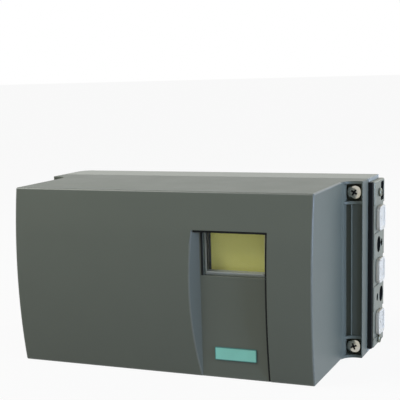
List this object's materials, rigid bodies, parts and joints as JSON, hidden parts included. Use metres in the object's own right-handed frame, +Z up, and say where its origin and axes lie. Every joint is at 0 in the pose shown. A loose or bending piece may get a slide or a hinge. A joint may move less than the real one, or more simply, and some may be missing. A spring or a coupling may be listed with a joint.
{
  "type": "valve positioner",
  "caption": "Valve positioner in a flanged plastic case with a display, geared feedback shaft, capped air ports and cable gland.",
  "frame": {"origin": "where the feedback shaft's axis crosses the rear mounting plane", "axes": "+X to the right seen from the front, +Y from the front to the rear along the feedback shaft, +Z up"},
  "size_m": [0.2107, 0.1146, 0.095],
  "materials": {
    "cover_plastic": "satin moulded",
    "base_plastic": "satin moulded",
    "seal_rubber": "matt",
    "bronze": "sintered",
    "brass": "turned",
    "block_metal": "anodised",
    "screw_steel": "zinc plated",
    "plain_steel": "ground",
    "black_plastic": "moulded",
    "pot_plastic": "moulded",
    "board_green": "solder resist",
    "terminal_green": "moulded",
    "gear_nylon": "moulded",
    "yellow_plastic": "moulded",
    "button_grey": "moulded",
    "display_frame": "moulded",
    "display_glass": "glossy",
    "window_clear": "clear",
    "plate_teal": "printed",
    "white_plastic": "moulded"
  },
  "bodies": {
    "housing": {"base_housing": "base_plastic", "mounting_inserts": "brass", "cover_inserts": "brass", "cover_seal": "seal_rubber", "shaft_bush_rear": "bronze", "shaft_bush_front": "bronze", "shaft_seal": "seal_rubber", "pneumatic_block": "block_metal", "block_seal": "seal_rubber", "block_screws": "screw_steel", "valve_manifold": "block_metal", "manifold_screws": "screw_steel", "pilot_valve_upper": "black_plastic", "pilot_valve_lower": "black_plastic", "exhaust_silencer": "bronze", "gland_body": "black_plastic", "gland_seal": "seal_rubber", "entry_seals": "seal_rubber", "blanking_plug": "black_plastic", "potentiometer": "pot_plastic", "pot_bracket": "plain_steel", "bracket_screws": "screw_steel", "electronics_carrier": "black_plastic", "carrier_screws": "screw_steel", "main_board": "board_green", "board_components": "black_plastic", "board_standoffs": "brass", "lcd_module": "display_frame", "lcd_glass": "display_glass", "tact_switches": "black_plastic", "shield_plate": "plain_steel", "shield_screws": "screw_steel", "terminal_block": "terminal_green", "terminal_screws": "screw_steel"},
    "cover": {"cover_shell": "cover_plastic", "display_window": "window_clear", "window_seal": "seal_rubber", "name_plate": "plate_teal", "cover_screws": "screw_steel", "screw_retainers": "white_plastic"},
    "feedback": {"feedback_shaft": "plain_steel", "drive_gear": "gear_nylon", "clutch_spring": "plain_steel", "shaft_circlip": "plain_steel"},
    "clutch_wheel": {"friction_wheel": "yellow_plastic"},
    "pot_rotor": {"pot_shaft": "plain_steel", "pot_pinion": "gear_nylon"},
    "ratio_slide": {"ratio_selector": "yellow_plastic"},
    "mode_button": {"button_mode": "button_grey"},
    "down_button": {"button_down": "button_grey"},
    "up_button": {"button_up": "button_grey"},
    "upper_restrictor": {"restrictor_upper": "brass"},
    "lower_restrictor": {"restrictor_lower": "brass"},
    "purge_slide": {"purge_selector": "yellow_plastic"},
    "cable_nut": {"gland_nut": "black_plastic"},
    "upper_plug": {"port_plug_upper": "white_plastic"},
    "middle_plug": {"port_plug_middle": "white_plastic"},
    "lower_plug": {"port_plug_lower": "white_plastic"}
  },
  "joints": [
    {"name": "cover_lift", "type": "slide", "parent": "housing", "child": "cover", "axis": [0, -1, 0], "range_m": [0, 0.12]},
    {"name": "shaft_turn", "type": "hinge", "parent": "housing", "child": "feedback", "pos_m": [0, 0, 0], "axis": [0, 1, 0], "range_deg": [-50, 50]},
    {"name": "wheel_turn", "type": "hinge", "parent": "feedback", "child": "clutch_wheel", "pos_m": [0, -0.0765, 0], "axis": [0, 1, 0], "continuous": true},
    {"name": "pot_turn", "type": "hinge", "parent": "housing", "child": "pot_rotor", "pos_m": [-0.0252, -0.02, 0], "axis": [0, 1, 0], "continuous": true},
    {"name": "ratio_shift", "type": "slide", "parent": "housing", "child": "ratio_slide", "axis": [1, 0, 0], "range_m": [0, 0.005]},
    {"name": "mode_press", "type": "slide", "parent": "housing", "child": "mode_button", "axis": [0, 1, 0], "range_m": [0, 0.0012], "stiffness_N_per_m": 400},
    {"name": "down_press", "type": "slide", "parent": "housing", "child": "down_button", "axis": [0, 1, 0], "range_m": [0, 0.0012], "stiffness_N_per_m": 400},
    {"name": "up_press", "type": "slide", "parent": "housing", "child": "up_button", "axis": [0, 1, 0], "range_m": [0, 0.0012], "stiffness_N_per_m": 400},
    {"name": "upper_restrictor_turn", "type": "hinge", "parent": "housing", "child": "upper_restrictor", "pos_m": [0.073, -0.03, 0.0206], "axis": [0, 1, 0], "range_deg": [0, 720]},
    {"name": "lower_restrictor_turn", "type": "hinge", "parent": "housing", "child": "lower_restrictor", "pos_m": [0.073, -0.03, -0.0286], "axis": [0, 1, 0], "range_deg": [0, 720]},
    {"name": "purge_shift", "type": "slide", "parent": "housing", "child": "purge_slide", "axis": [0, 0, 1], "range_m": [0, 0.004]},
    {"name": "nut_turn", "type": "hinge", "parent": "housing", "child": "cable_nut", "pos_m": [-0.107, -0.012, -0.02], "axis": [1, 0, 0], "range_deg": [0, 720]},
    {"name": "upper_plug_pull", "type": "slide", "parent": "housing", "child": "upper_plug", "axis": [1, 0, 0], "range_m": [0, 0.04]},
    {"name": "middle_plug_pull", "type": "slide", "parent": "housing", "child": "middle_plug", "axis": [1, 0, 0], "range_m": [0, 0.04]},
    {"name": "lower_plug_pull", "type": "slide", "parent": "housing", "child": "lower_plug", "axis": [1, 0, 0], "range_m": [0, 0.04]}
  ],
  "couplings": [
    {"joint": "pot_turn", "follows": "shaft_turn", "ratio": -3}
  ]
}
